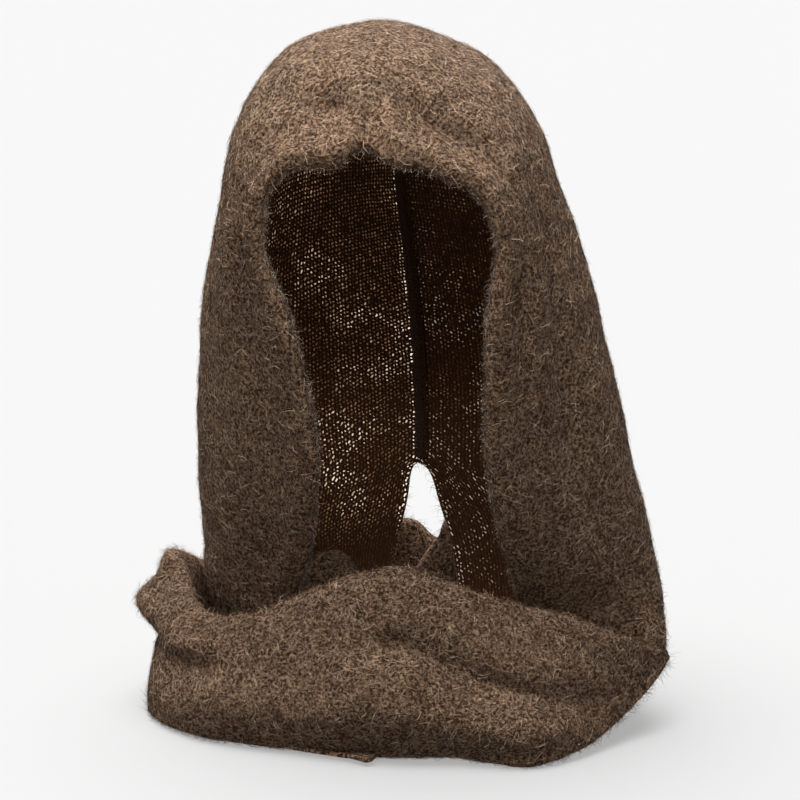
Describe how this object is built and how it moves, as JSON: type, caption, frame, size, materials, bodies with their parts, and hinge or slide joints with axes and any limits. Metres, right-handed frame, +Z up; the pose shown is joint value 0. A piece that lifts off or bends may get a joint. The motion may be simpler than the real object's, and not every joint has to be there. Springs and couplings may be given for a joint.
{
  "type": "hooded scarf",
  "caption": "Hood knitted in one with long scarf arms, an open face, a centre seam, and the arms lying round its foot as a ring.",
  "frame": {"origin": "the head seat: the inside of the crown, where it rests on the top of the head", "axes": "+Z up along the body, -Y out of the face opening, +X to the viewer's right"},
  "size_m": [0.358, 0.2859, 0.4613],
  "materials": {
    "brushed_wool": "brushed heathered wool knit, matt",
    "seam_wool": "overlocked wool edge, matt"
  },
  "bodies": {
    "root": {"left_panel": "brushed_wool", "right_panel": "brushed_wool", "centre_seam": "seam_wool"}
  },
  "joints": []
}
